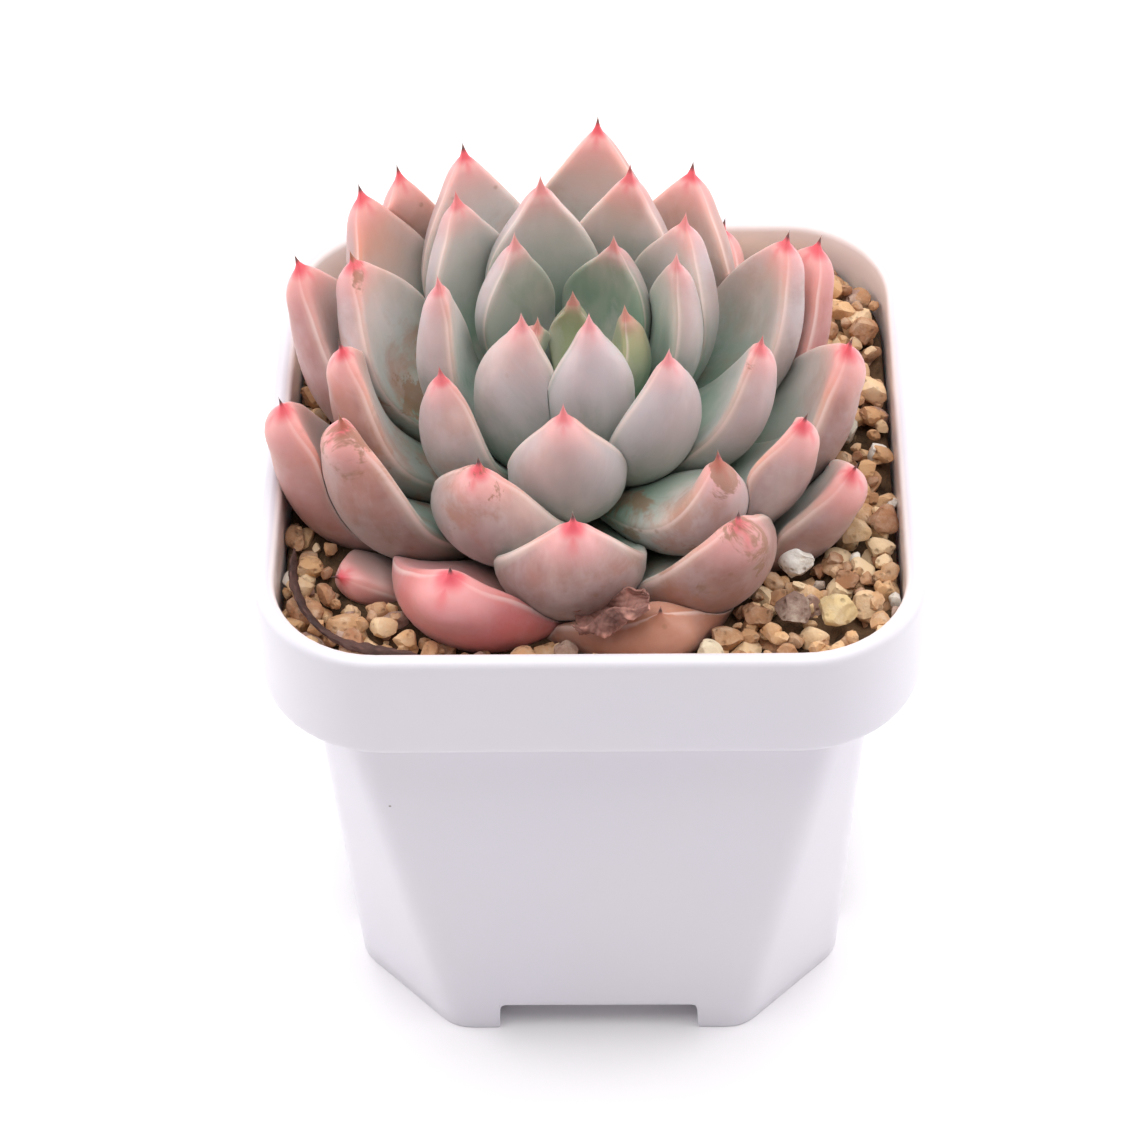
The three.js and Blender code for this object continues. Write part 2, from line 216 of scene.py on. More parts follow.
# pot
potPlan = {
    "width": 75,
    "height": 75,
    "collarHeight": 15,
    "collarCorner": 14.3,
    "collarRound": 1.3,  # lower outer edge of the collar
    "lipWall": 2.3,
    "lipRound": 1.1,
    "baseWidth": 60,
    "shoulderWidth": 63.6,
    "baseChamfer": 12,
    "shoulderChamfer": 3.8,
    "wall": 1.6,
    "footHeight": 4.5,
    "footNotch": 24.6,
    "footWall": 2.6,
    "drainRadius": 1.75,
    "drainPitch": 13,
}
mouth = potPlan["height"]
shoulder = mouth - potPlan["collarHeight"]


def sideSteps():
    edge = potPlan["footNotch"] / 2
    near = [edge + d for d in (-0.7, -0.3, -0.1, -0.03, 0, 0.05, 0.16, 0.35, 0.7)]
    half = [0, 4, 8] + near + [edge + 1.5, edge + 2.9]
    return [-x for x in half[:0:-1]] + half


def cornerRound(half, radius):
    angles = np.radians(np.linspace(0, 90, 13))
    return [(half - radius + radius * math.cos(a), half - radius + radius * math.sin(a)) for a in angles]


def cornerCut(half, cut, soft):  # a straight cut with a soft bend at both its ends
    slant = math.sqrt(0.5)
    lower = []
    for t in np.linspace(0, 1, 6):
        before, middle, after = (1 - t) ** 2, 2 * t * (1 - t), t * t
        x = half * (before + middle) + (half - soft * slant) * after
        y = (half - cut - soft) * before + (half - cut) * middle + (half - cut + soft * slant) * after
        lower.append((x, y))
    return lower + [(half - cut / 2, half - cut / 2)] + [(y, x) for x, y in reversed(lower)]


def fourTimes(line):  # one side and its corner, turned about the middle
    ring = []
    for c, s in ((1, 0), (0, 1), (-1, 0), (0, -1)):
        ring += [(x * c - y * s, x * s + y * c) for x, y in line]
    return ring


def potRing(half, corner, height):
    line = [(half, y) for y in sideSteps()] + corner
    beyondNotch = potPlan["width"]
    levels = [height(y) for y in sideSteps()] + [height(beyondNotch)] * len(corner)
    return [(x, y, z) for (x, y), z in zip(fourTimes(line), levels * 4)]


def bodyLine(z, inset):
    share = z / shoulder
    half = mixed(potPlan["baseWidth"], potPlan["shoulderWidth"], share) / 2
    cut = mixed(potPlan["baseChamfer"], potPlan["shoulderChamfer"], share)
    cut = max(cut - 0.6 * inset, 1.6)
    return half - inset, cornerCut(half - inset, cut, min(2.2, cut / 2.2))


def bodyRing(z, inset=0.0):
    return potRing(*bodyLine(z, inset), lambda y: z)


def collarRing(inset, z):
    half = potPlan["width"] / 2 - inset
    return potRing(half, cornerRound(half, potPlan["collarCorner"] - inset), lambda y: z)


def footEdge(y):  # height of the skirt's lower edge: up over the notch, down on the feet
    beyond = abs(y) - potPlan["footNotch"] / 2
    bend = [-0.7, -0.3, -0.1, -0.03, 0, 0.05, 0.16, 0.35]
    drop = np.interp(beyond, bend, [0, 0.05, 0.2, 0.5, 0.85, 0.94, 0.985, 1])
    return potPlan["footHeight"] * (1 - drop)


def footRing(inset, lift):
    return potRing(*bodyLine(0, inset), lambda y: footEdge(y) + lift)


def quarter(radius, steps=5):  # (across, up) along a quarter round from flat to upright
    angles = np.radians(np.linspace(0, 90, steps))
    return [(radius * (1 - math.sin(a)), radius * (1 - math.cos(a))) for a in angles]


def shrunk(ring, share, z):
    return [(x * share, y * share, z) for x, y, _ in ring]


def makePot():
    under = potPlan["footHeight"] + 0.06
    floorTop = potPlan["footHeight"] + potPlan["wall"]
    ledge = shoulder + potPlan["wall"]
    skirt, lip, mouthRound, low = (potPlan[k] for k in ("footWall", "lipWall", "lipRound", "collarRound"))
    rings = [shrunk(bodyRing(under, skirt), share, under) for share in (0.15, 0.5, 0.8)]
    rings += [bodyRing(under, skirt + 0.3), bodyRing(under, skirt)]
    rings += [footRing(skirt, 0.04), footRing(skirt - 0.3, 0), footRing(0.35, 0), footRing(0.1, 0.04)]
    rings += [footRing(0, 0.2)]
    rings += [bodyRing(z) for z in (4.9, 6, 9, 15, 25, 35, 45, 52, 57, 59.2)]
    rings += [bodyRing(shoulder - 0.15, -0.12), bodyRing(shoulder, -0.5)]
    rings += [collarRing(low + 1.2, shoulder)]
    rings += [collarRing(a, shoulder + b) for a, b in quarter(low)]
    rings += [collarRing(0, z) for z in (63, 66, 70, 73)]
    rings += [collarRing(a, mouth - b) for a, b in reversed(quarter(mouthRound))]
    rings += [collarRing(lip - a, mouth - b) for a, b in quarter(mouthRound)]
    rings += [collarRing(lip, z) for z in (72, 68, ledge + 0.5)]
    rings += [collarRing(lip + 0.5, ledge), bodyRing(ledge, potPlan["wall"])]
    rings += [bodyRing(z, potPlan["wall"]) for z in (45, 25, floorTop + 0.6)]
    rings += [bodyRing(floorTop, potPlan["wall"] + 0.6)]
    rings += [shrunk(bodyRing(floorTop, potPlan["wall"]), share, floorTop) for share in (0.5, 0.15)]
    count = len(rings[0])
    points = [p for ring in rings for p in ring] + [(0, 0, under), (0, 0, floorTop)]
    faces = loftFaces(len(rings), count, len(points) - 2, len(points) - 1)
    piece = addMesh("pot_shell", points, faces)
    cutter = drainPins()
    hole = piece.modifiers.new("drain", "BOOLEAN")
    hole.object = cutter
    hole.solver = "MANIFOLD"
    applyModifiers(piece)
    bpy.data.objects.remove(cutter)
    piece.data.polygons.foreach_set("use_smooth", [True] * len(piece.data.polygons))
    piece.data.set_sharp_from_angle(angle=math.radians(38))
    # mark the inner face of the collar, where the material paints warm light
    at = np.array([v.co for v in piece.data.vertices]) / mm
    straight = potPlan["width"] / 2 - potPlan["collarCorner"]
    corner = np.maximum(np.abs(at[:, :2]) - straight, 0)
    within = (np.hypot(*corner.T) < potPlan["collarCorner"] - 0.8 * lip) & (at[:, 2] > ledge - 0.5)
    addValues(piece, "inside", within.astype(float))
    return piece


def applyModifiers(piece):
    shown = piece.evaluated_get(bpy.context.evaluated_depsgraph_get())
    made = bpy.data.meshes.new_from_object(shown)
    piece.modifiers.clear()
    old, piece.data = piece.data, made
    made.name = piece.name
    bpy.data.meshes.remove(old)


def drainPins():
    radius, pitch = potPlan["drainRadius"], potPlan["drainPitch"]
    low, high = 2.0, 8.0  # well past both faces of the floor
    turns = np.radians(np.arange(0, 360, 15))
    count = len(turns)
    points, faces = [], []
    for cx, cy in itertools.product((-pitch, 0, pitch), repeat=2):
        bottom = [len(points) + i for i in range(count)]
        top = [i + count for i in bottom]
        for z in (low, high):
            points += [(cx + radius * math.cos(t), cy + radius * math.sin(t), z) for t in turns]
        for i in range(count):
            j = (i + 1) % count
            faces.append((bottom[i], bottom[j], top[j], top[i]))
        faces += [tuple(reversed(bottom)), tuple(top)]
    return addMesh("drain_pins", points, faces, smooth=False)


potLook = {
    "color": (0.7, 0.675, 0.735),
    "warm": (0.715, 0.685, 0.735),
    "inside": (0.97, 0.9, 0.9),  # painted light: the inner face is painted lighter and warmer, standing in for the warm light of the plant and the light through the thin wall
    "roughness": 0.3,
    "glow": 0.12,  # how much light passes into the thin white plastic
    "dirt": (0.22, 0.17, 0.14),
}


def potMaterial():
    n = Nodes("white_plastic")
    cloud = n.noise(28, 3, 0.55)
    tone = n.mix(n.span(cloud, 0.35, 0.7), potLook["color"], potLook["warm"])
    # painted light: the inner face of the collar is mixed to a lighter, warmer tone in place of bounce
    # light
    tone = n.mix(n.attribute("inside"), tone, potLook["inside"])
    speck = n.span(n.cells(150), 0.035, 0.02)
    rare = n.span(n.noise(55, 2), 0.62, 0.66)
    tone = n.mix(n.math("MULTIPLY", speck, rare), tone, potLook["dirt"])
    smudge = n.noise(45, 2, 0.5)
    gloss = potLook["roughness"]
    n.set(Base_Color=tone, Roughness=n.span(smudge, 0.3, 0.7, gloss, gloss + 0.08))
    n.set(Subsurface_Weight=potLook["glow"], Subsurface_Radius=(1, 0.85, 0.85), Subsurface_Scale=0.0015)
    n.set(Specular_IOR_Level=0.5, IOR=1.49)
    fine = n.math("ADD", n.noise(900, 2, 0.5), n.math("MULTIPLY", n.noise(60, 2), 0.6))
    n.bump(fine, 0.05, 0.00008)
    return n.material


settle(makePot(), potMaterial(), "pot_plastic", "pot")
print("pot made")

# rosette
rosette = {
    "centre": (-2.5, 1.5),
    "stemRadius": 3.4,
    "crown": mouth + 2.5,  # height of the youngest leaf's base
    "crownDrop": 13,
    "width": (5, 18.6, 0.45),  # youngest, oldest, growth
    "thickness": (2.4, 6),
    "cup": (0.1, 0.17),  # how far the margins stand above the midrib, as a share of the half width
    "full": (1.75, 2.2),  # how far the full width is carried towards the tip
    "sharp": (1.1, 0.82),  # how drawn out the tip is
    # the rows below name leaves that differ, counted from the youngest
    "drawn": {13: 1.05, 16: 1.05, 21: 1.05, 24: 1.05, 26: 1.0, 29: 1.08, 31: 1.0, 34: 1.05},  # longer taper
    "lean": {12: 12, 17: 20, 20: 10, 22: -4, 25: 17, 28: 5, 30: 12, 33: 20, 35: -4, 36: 6, 38: 12},
    "broad": {38: 1.12, 41: 0.8},
    "plump": {17: 0.45, 33: 0.2, 38: 0.3},  # upper faces that bulge instead of lying hollow
    "margin": (0.4, 0.95),  # half thickness of the rounded margin
    "spine": (2.0, 1.9),  # length of the sharp point
    "spineHalf": (0.62, 0.4),  # half its width where it leaves the blade
    "gap": 0.12,
    "seed": 5,
    "rosy": {31: 0.35, 32: 0.5, 33: 0.9, 36: 0.25, 37: 0.4, 41: 0.35},  # sun-reddened leaves
    "withering": {30: 0.25, 38: 1, 39: 0.5},  # leaves that turn brown
    "scarred": {14: 0.5, 15: 0.6, 17: 0.85, 18: 1, 20: 0.85, 23: 0.8, 25: 0.6, 28: 0.7, 30: 0.8, 33: 0.5},
}
leafNodes = sorted(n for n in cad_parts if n.startswith("leaf_"))
oldest = len(leafNodes) - 1


def readLeaf(n):  # azimuth, tip and width from the CAD leaf itself
    points = np.array([v.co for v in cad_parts[leafNodes[n]].data.vertices]) / mm
    flat = points[:, :2] - rosette["centre"]
    reach = np.hypot(flat[:, 0], flat[:, 1])
    tip = np.argmax(points[:, 2] + 0.6 * reach)
    turn = math.atan2(flat[tip, 1], flat[tip, 0])
    across = flat @ np.array([-math.sin(turn), math.cos(turn)])
    return turn, reach[tip], points[tip, 2], 2 * np.abs(across).max()


def leafShape(n):
    turn, reach, height, width = readLeaf(n)
    age = n / oldest
    root = math.sqrt(age)
    thin, thick = rosette["thickness"]
    typical = mixed(rosette["width"][0], rosette["width"][1], age ** rosette["width"][2])
    width = min(max(width, 0.8 * typical), 1.25 * typical) * rosette["broad"].get(n, 1)
    base = (
        rosette["stemRadius"] * mixed(0.45, 1, age),
        rosette["crown"] - rosette["crownDrop"] * age**0.6,
    )
    low = height < mouth
    leave = math.radians(mixed(48, -2, root))
    arrive = math.radians(30 if low else mixed(92, 68, root) + rosette["lean"].get(n, 0))
    chord = math.hypot(reach - base[0], height - base[1])
    out = mixed(0.45, 0.7, root) * chord
    up = mixed(0.45, 0.5, age) * min(chord, 1.6 * (height - base[1]))
    ends = [
        base,
        (base[0] + out * math.cos(leave), base[1] + out * math.sin(leave)),
        (reach - up * math.cos(arrive), height - up * math.sin(arrive)),
        (reach, height),
    ]
    return {
        "n": n,
        "age": age,
        "turn": turn,
        "ends": np.array(ends),
        "width": width,
        "thickness": mixed(thin, thick, root) * math.sqrt(width / typical),
        "cup": 0 if low else mixed(*rosette["cup"], age),
        "full": mixed(*rosette["full"], age),
        "sharp": rosette["drawn"].get(n, mixed(*rosette["sharp"], age)),
        "margin": mixed(*rosette["margin"], root),
        "spine": mixed(*rosette["spine"], age),
        "spineHalf": mixed(*rosette["spineHalf"], age),
    }


def midrib(ends, steps=240):  # points on the curve, and how far along it each one is
    t = np.linspace(0, 1, steps)[:, None]
    shares = ((1 - t) ** 3, 3 * t * (1 - t) ** 2, 3 * t**2 * (1 - t), t**3)
    path = sum(share * end for share, end in zip(shares, ends))
    run = np.concatenate([[0], np.cumsum(np.hypot(*np.diff(path, axis=0).T))])
    return run, path


stationCount = 46
ringCount = 32


def makeLeaf(shape, inner):
    rng = np.random.default_rng(rosette["seed"] * 100 + shape["n"])
    run, path = midrib(shape["ends"])
    length = run[-1]
    steps = 1 - (1 - np.linspace(0.0, 1, stationCount)) ** 1.25  # closer together at the tip
    blade = 1 - shape["spine"] / length
    at = np.stack([np.interp(steps * length, run, path[:, i]) for i in (0, 1)], 1)
    heading = np.gradient(at, axis=0)
    heading /= np.linalg.norm(heading, axis=1, keepdims=True)
    normal = np.stack([-heading[:, 1], heading[:, 0]], 1)
    # outline
    s = np.clip(steps / blade, 0, 1)
    widest = 0.6
    below = 0.5 + 0.5 * np.sin(np.pi / 2 * np.minimum(s / widest, 1))
    u = np.clip((s - widest) / (1 - widest), 0, 1)
    outline = np.where(s < widest, below, (1 - u ** shape["full"]) ** shape["sharp"])
    left = (1 - steps) * length  # distance to the very tip
    spine = shape["spineHalf"] * np.clip(left / shape["spine"], 0, 1) ** 1.4 * smoothStep(0.88, 1.0, s)
    half = 0.5 * shape["width"] * outline + spine
    body = shape["thickness"] * np.sin(np.pi * (0.16 + 0.78 * s)) ** 0.8 + 0.5
    body = mixed(body, 1.1 * half, smoothStep(0.86, 1.0, s))
    rim = np.minimum(shape["margin"], 0.45 * half)[:, None]
    cup = shape["cup"] * half * (1 - smoothStep(0.88, 1.0, s))
    # a slow waviness that each leaf has of its own
    wave = rng.normal(0, 1, 5)
    sway = 0.25 * np.sin(np.pi * s) * (wave[0] + 0.6 * wave[1] * np.sin(2 * np.pi * s))
    twist = np.radians(3.5 * wave[2]) * np.sin(np.pi * np.minimum(s, 1))
    turns = np.linspace(0, 2 * np.pi, ringCount, endpoint=False)
    x = np.cos(turns)[None, :] * np.ones((stationCount, 1))
    upper = np.sin(turns)[None, :] >= 0
    lift = np.abs(np.sin(turns))[None, :]
    # the lower face bulges like a boat, the upper one is a shallow trough between two soft margins
    soft = 1 - (1 - lift) ** 3
    under = -rim * soft - np.maximum(body[:, None] - rim, 0) * lift**0.85
    top = rim * soft + (0.08 + rosette["plump"].get(shape["n"], 0)) * body[:, None] * lift**2
    edge = 1.5 * cup[:, None] * np.abs(x) ** 2.2
    ripple = 0.16 * np.sin(s * 9 + wave[3])[:, None] * x**3
    ripple = ripple + 0.14 * np.sin(s * 13 + wave[4])[:, None] * x**2
    ripple = ripple * smoothStep(0.1, 0.5, s)[:, None] * (1 - smoothStep(0.85, 1, s))[:, None]
    h = np.where(upper, top, under) + edge + ripple
    across = x * half[:, None]
    turned = across * np.cos(twist)[:, None] - h * np.sin(twist)[:, None] + sway[:, None]
    h = across * np.sin(twist)[:, None] + h * np.cos(twist)[:, None]
    across = turned
    h = pressDown(shape, at, normal, across, h, upper, inner)
    points = placed(shape, at, normal, across, h).reshape(-1, 3)
    middle = np.zeros((1, 1))
    firstPole = placed(shape, at[:1], normal[:1], middle, middle - 0.3 * shape["thickness"])
    lastPole = placed(shape, at[-1:], normal[-1:], middle, middle)
    points = np.concatenate([points, firstPole.reshape(1, 3), lastPole.reshape(1, 3)])
    faces = loftFaces(stationCount, ringCount, len(points) - 2, len(points) - 1)
    values = {
        "along": np.append(np.repeat(s, ringCount), [0, 1]),
        "across": np.append(x.reshape(-1), [0, 0]),
        "upper": np.append(np.where(np.broadcast_to(upper, x.shape), 1.0, 0.0).reshape(-1), [0, 1]),
        "spine": np.append(np.repeat(1 - np.clip(left / shape["spine"], 0, 1), ringCount), [0, 1]),
    }
    return points, faces, values


def placed(shape, at, normal, across, h):
    radial = np.array([math.cos(shape["turn"]), math.sin(shape["turn"])])
    aside = np.array([-radial[1], radial[0]])
    r = at[:, :1] + normal[:, :1] * h
    z = at[:, 1:] + normal[:, 1:] * h
    x = rosette["centre"][0] + radial[0] * r + aside[0] * across
    y = rosette["centre"][1] + radial[1] * r + aside[1] * across
    return np.stack([x, y, z], 2)


def pressDown(shape, at, normal, across, h, upper, inner):
    # a leaf gives way where the younger leaves above it are in its place
    if inner is None:
        return h
    deep = 9.0
    starts = placed(shape, at, normal, across, np.full_like(h, -deep))
    ends = placed(shape, at, normal, across, np.full_like(h, 6.0))
    push = np.zeros_like(h)
    for i in range(h.shape[0]):
        for j in range(h.shape[1]):
            start = Vector(starts[i, j])
            way = Vector(ends[i, j]) - start
            reach = way.length
            hit = inner.ray_cast(start, way.normalized(), reach)
            if hit[0] is not None:
                free = hit[3] - deep - rosette["gap"]
                push[i, j] = max(0.0, h[i, j] - free)
    soft = push.copy()
    for _ in range(3):
        soft = (soft + np.roll(soft, 1, 1) + np.roll(soft, -1, 1)) / 3
        soft[1:-1] = (soft[:-2] + soft[1:-1] + soft[2:]) / 3
    return h - np.maximum(push, soft)


def joined(parts):  # one vertex list and one face list from several
    points, faces, start = [], [], 0
    for p, f in parts:
        points.append(p)
        faces += [tuple(i + start for i in face) for face in f]
        start += len(p)
    return np.concatenate(points), faces


def makeRosette(material):
    done, inner = [], None
    for n in range(oldest + 1):
        shape = leafShape(n)
        points, faces, values = makeLeaf(shape, inner)
        done.append((points, faces))
        piece = addMesh(f"{leafNodes[n]}_skin", points, faces)
        for name, v in values.items():
            addValues(piece, name, v)
        addValues(piece, "age", np.full(len(points), shape["age"]))
        addValues(piece, "odd", np.full(len(points), np.random.default_rng(n + 40).random()))
        for name in ("rosy", "withering", "scarred"):
            addValues(piece, name, np.full(len(points), rosette[name].get(n, 0.0)))
        slot = "young_leaf" if n < 9 else "old_leaf" if n >= 33 else "leaf"
        settle(piece, material, slot, leafNodes[n])
        points, faces = joined(done)
        inner = BVHTree.FromPolygons(points.tolist(), faces)
    return inner


leafLook = {
    "heart": (0.36, 0.41, 0.23),  # youngest leaves, yellow green
    "green": (0.175, 0.29, 0.215),  # grey green low down
    "grey": (0.57, 0.55, 0.51),  # cool grey of the upper face
    "under": (0.52, 0.455, 0.48),  # lavender grey underside
    "dusky": (0.28, 0.125, 0.115),  # underside of the outer leaves
    "olive_shade": (0.2, 0.17, 0.105),  # low on the outer leaves, darkened as painted shade
    "peach": (0.7, 0.32, 0.225),
    "pink": (0.6, 0.135, 0.145),
    "tip": (0.86, 0.4, 0.4),
    "red": (0.72, 0.05, 0.09),
    "spine": (0.07, 0.055, 0.055),
    "bloom": (0.66, 0.59, 0.62),
    "margin": (0.86, 0.7, 0.66),
    "brown": (0.36, 0.135, 0.06),
    "stain": (0.42, 0.2, 0.13),  # thin brownish patches in the skin
    "scar": (0.28, 0.14, 0.07),
    "roughness": 0.4,
}


def leafMaterial():
    n = Nodes("leaf_skin")
    along, across, upper, spine, age, odd, rosy, withering, scarred = (
        n.attribute(k)
        for k in ("along", "across", "upper", "spine", "age", "odd", "rosy", "withering", "scarred")
    )

    def both(a, b):
        return n.math("MULTIPLY", a, b)

    aside = n.math("ABSOLUTE", across)
    cloud = n.noise(70, 4, 0.6)
    streak = n.noise(1.0, 3, 0.6, 0.0, n.stretched((170, 170, 60)))
    wander = both(n.math("SUBTRACT", cloud, 0.5), 0.4)
    far = n.math("ADD", along, wander)
    # each leaf colours up a little differently
    tinge = n.math("ADD", far, both(n.math("SUBTRACT", odd, 0.5), 0.16))
    # upper face: grey green below, then lavender grey, peach towards the tip and margins
    green = n.mix(n.span(age, 0.03, 0.08), leafLook["heart"], leafLook["green"])
    face = n.mix(both(n.span(far, 0.38, 0.88), n.span(age, 0.03, 0.2)), green, leafLook["grey"])
    fringe = both(n.span(aside, 0.9, 1.0), n.span(far, 0.4, 0.8, 0.0, 0.2))
    blush = n.math("ADD", n.span(tinge, 0.68, 1.1), fringe, True)
    face = n.mix(both(blush, n.span(age, 0.02, 0.55, 0.2, 1.0)), face, leafLook["peach"])
    # underside: greenest low down, darkened there by painted shade on the outer leaves; dusky pink on the
    # outer leaves
    back = n.mix(n.span(age, 0.03, 0.09), leafLook["heart"], leafLook["under"])
    mottle = n.noise(48, 5, 0.7, 0.3)
    outer = both(n.span(age, 0.3, 0.65), n.span(mottle, 0.3, 0.65, 0.35, 1.0))
    back = n.mix(outer, back, leafLook["dusky"])
    # low on the underside: the real green of the leaf base, with painted shade (darker olive) on the older
    # leaves
    base = n.mix(n.span(age, 0.45, 0.75), leafLook["green"], leafLook["olive_shade"])
    back = n.mix(n.span(far, 0.25, 0.95, 0.95, 0.0), back, base)
    band = n.span(n.noise(1.0, 3, 0.6, 0.3, n.stretched((60, 60, 22))), 0.42, 0.62, 0.35, 1.0)
    flush = both(n.span(tinge, 0.62, 1.05), band)
    back = n.mix(both(flush, n.span(age, 0.1, 0.6, 0.4, 0.75)), back, leafLook["peach"])
    color = n.mix(upper, back, face)
    color = n.mix(both(rosy, n.span(far, 0.2, 0.75, 0.1, 0.8)), color, leafLook["pink"])
    color = n.mix(both(withering, n.span(far, 0.05, 0.7, 0.9, 0.6)), color, leafLook["brown"])
    young = n.span(age, 0.45, 0.8, 1.0, 0.35)
    color = n.mix(both(n.span(streak, 0.45, 0.7), both(young, 0.26)), color, leafLook["margin"])
    powder = n.span(n.noise(55, 6, 0.7, 0.8), 0.45, 0.6)
    color = n.mix(both(powder, both(young, 0.28)), color, leafLook["bloom"])
    stain = both(n.span(n.noise(85, 5, 0.7, 0.4), 0.5, 0.66), n.span(age, 0.2, 0.5))
    color = n.mix(both(stain, n.span(scarred, 0.0, 1.0, 0.28, 0.7)), color, leafLook["stain"])
    # pale translucent margin line: partly the margin's own pale tone, partly a painted rim highlight
    rim = both(n.span(aside, 0.99, 1.0), n.span(along, 0.25, 0.55))
    color = n.mix(both(rim, 0.5), color, leafLook["margin"])
    # a small red point with a short streak below it, and the dark spine
    reach = n.math("ADD", along, both(wander, 0.12))
    alive = n.math("SUBTRACT", 1.0, withering)
    warm = both(n.span(reach, 0.86, 1.0), n.span(age, 0.1, 0.5, 0.45, 0.7))
    color = n.mix(both(warm, alive), color, leafLook["tip"])
    line = both(n.span(aside, 0.45, 0.0), n.span(reach, 0.93, 0.99))
    point = n.math("MAXIMUM", n.span(reach, 0.972, 1.0), both(line, 0.6))
    point = both(point, n.span(age, 0.1, 0.55, 0.3, 0.8))
    color = n.mix(both(point, alive), color, leafLook["red"])
    color = n.mix(both(n.span(spine, 0.2, 0.6), n.span(age, 0.25, 0.5)), color, leafLook["spine"])
    # corky scars
    cork = n.noise(62, 6, 0.72, 0.5)
    limit = n.span(scarred, 0.0, 1.0, 0.76, 0.53, smooth=False)
    patch = n.span(n.math("SUBTRACT", cork, limit), 0.0, 0.05)
    color = n.mix(both(patch, 0.7), color, leafLook["scar"])
    dot = both(n.span(n.cells(330), 0.14, 0.06), n.span(n.noise(45, 2), 0.56, 0.62))
    color = n.mix(both(dot, 0.45), color, leafLook["scar"])
    low = leafLook["roughness"]
    n.set(Base_Color=color, Roughness=n.span(cloud, 0.3, 0.7, low, low + 0.16))
    n.set(Subsurface_Weight=0.3, Subsurface_Radius=(1, 0.42, 0.32), Subsurface_Scale=0.0022)
    n.set(Specular_IOR_Level=0.42, Sheen_Weight=0.15, Sheen_Roughness=0.45)
    fine = n.math("ADD", n.noise(700, 3, 0.6), both(n.noise(160, 3), 1.4))
    fine = n.math("SUBTRACT", fine, both(patch, 0.8))
    n.bump(fine, 0.14, 0.00035)
    return n.material


rosetteTree = makeRosette(leafMaterial())
print("leaves made")

# grit and loose pieces
gritPlan = {
    "top": 5.2,  # mean depth of the surface below the mouth
    "size": (1.7, 2.9),  # half the long side of a grain
    "rise": 1.3,  # the surface climbs this much towards the right and the back
    "tries": 6000,
    "chips": (0.9, 1.5, 4200),  # small fill between the grains: least, most, tries
    "seed": 21,
}


def stoneShape(rng, detail, knobbly=0.0):
    unit, faces = icosphere(detail)
    points = unit * np.array([1, rng.uniform(0.68, 0.95), rng.uniform(0.55, 0.8)])
    for _ in range(11):  # broken faces
        way = rng.normal(size=3)
        way /= np.linalg.norm(way)
        cut = rng.uniform(0.55, 0.82) * np.abs(points @ way).max()
        over = np.maximum(points @ way - cut, 0)
        points = points - 0.95 * over[:, None] * way
    lumps = rng.normal(size=(10, 3))
    lumps /= np.linalg.norm(lumps, axis=1, keepdims=True)
    near = np.exp(9 * (unit @ lumps.T - 1)) @ rng.normal(0, 0.06 + knobbly, 10)
    pocks = rng.normal(size=(60, 3))
    pocks /= np.linalg.norm(pocks, axis=1, keepdims=True)
    rough = np.exp(90 * (unit @ pocks.T - 1)) @ rng.normal(0, 0.035 + 0.8 * knobbly, 60)
    points = points * (1 + near + rough)[:, None]
    return points, faces


brokenEdge = math.radians(26)  # faces of a stone that meet more sharply than this show an edge
spheres = {}


def icosphere(detail):
    if detail not in spheres:
        bm = bmesh.new()
        bmesh.ops.create_icosphere(bm, subdivisions=detail, radius=1)
        bm.verts.ensure_lookup_table()
        points = np.array([v.co for v in bm.verts])
        spheres[detail] = points, [tuple(v.index for v in f.verts) for f in bm.faces]
        bm.free()
    return spheres[detail]


def turnedBy(rng):
    q = rng.normal(size=4)
    q /= np.linalg.norm(q)
    return np.array(Quaternion(q).to_matrix())


def insideMouth(x, y, margin):
    half = potPlan["width"] / 2 - potPlan["lipWall"] - margin
    radius = potPlan["collarCorner"] - potPlan["lipWall"] - margin
    dx, dy = max(abs(x) - (half - radius), 0), max(abs(y) - (half - radius), 0)
    return math.hypot(dx, dy) < radius


looseLook = {
    "stone_white_pumice": (0.9, 0.87, 0.82),
    "stone_cream": (0.78, 0.66, 0.48),
    "stone_brown": (0.24, 0.15, 0.12),
    "stone_yellow": (0.72, 0.54, 0.28),
    "stone_buff": (0.6, 0.4, 0.22),
    "stone_grey": (0.5, 0.46, 0.38),
}


def gritMaterial(name, color=None, porous=0.0):
    n = Nodes(name)
    shade = n.attribute("shade")
    if color is None:
        base = n.mix(n.span(shade, 0.0, 0.55, smooth=False), (0.36, 0.17, 0.09), (0.68, 0.41, 0.21))
        base = n.mix(n.span(shade, 0.62, 0.88, smooth=False), base, (0.84, 0.64, 0.4))
        base = n.mix(n.span(shade, 0.9, 0.905), base, (0.4, 0.25, 0.2))
        base = n.mix(n.span(shade, 0.95, 0.955), base, (0.82, 0.78, 0.7))
    else:
        base = n.mix(n.span(shade, 0, 1), color, tuple(0.85 * c for c in color))
    mottle = n.noise(420, 5, 0.7)
    dusty = n.mix(n.span(mottle, 0.4, 0.8), base, n.mix(0.5, base, (0.8, 0.7, 0.55)))
    pits = n.span(n.cells(900), 0.0, 0.35)
    # painted shade: the colour is darkened towards dark brown inside each pit
    dark = n.mix(n.math("MULTIPLY", n.math("SUBTRACT", 1.0, pits), 0.35 + porous), dusty, (0.2, 0.12, 0.07))
    n.set(Base_Color=dark, Roughness=n.span(mottle, 0, 1, 0.78, 0.98), Specular_IOR_Level=0.25)
    height = n.math("ADD", n.math("MULTIPLY", pits, 0.5 + 2 * porous), n.noise(260, 6, 0.7))
    n.bump(height, 0.8, 0.0006)
    return n.material


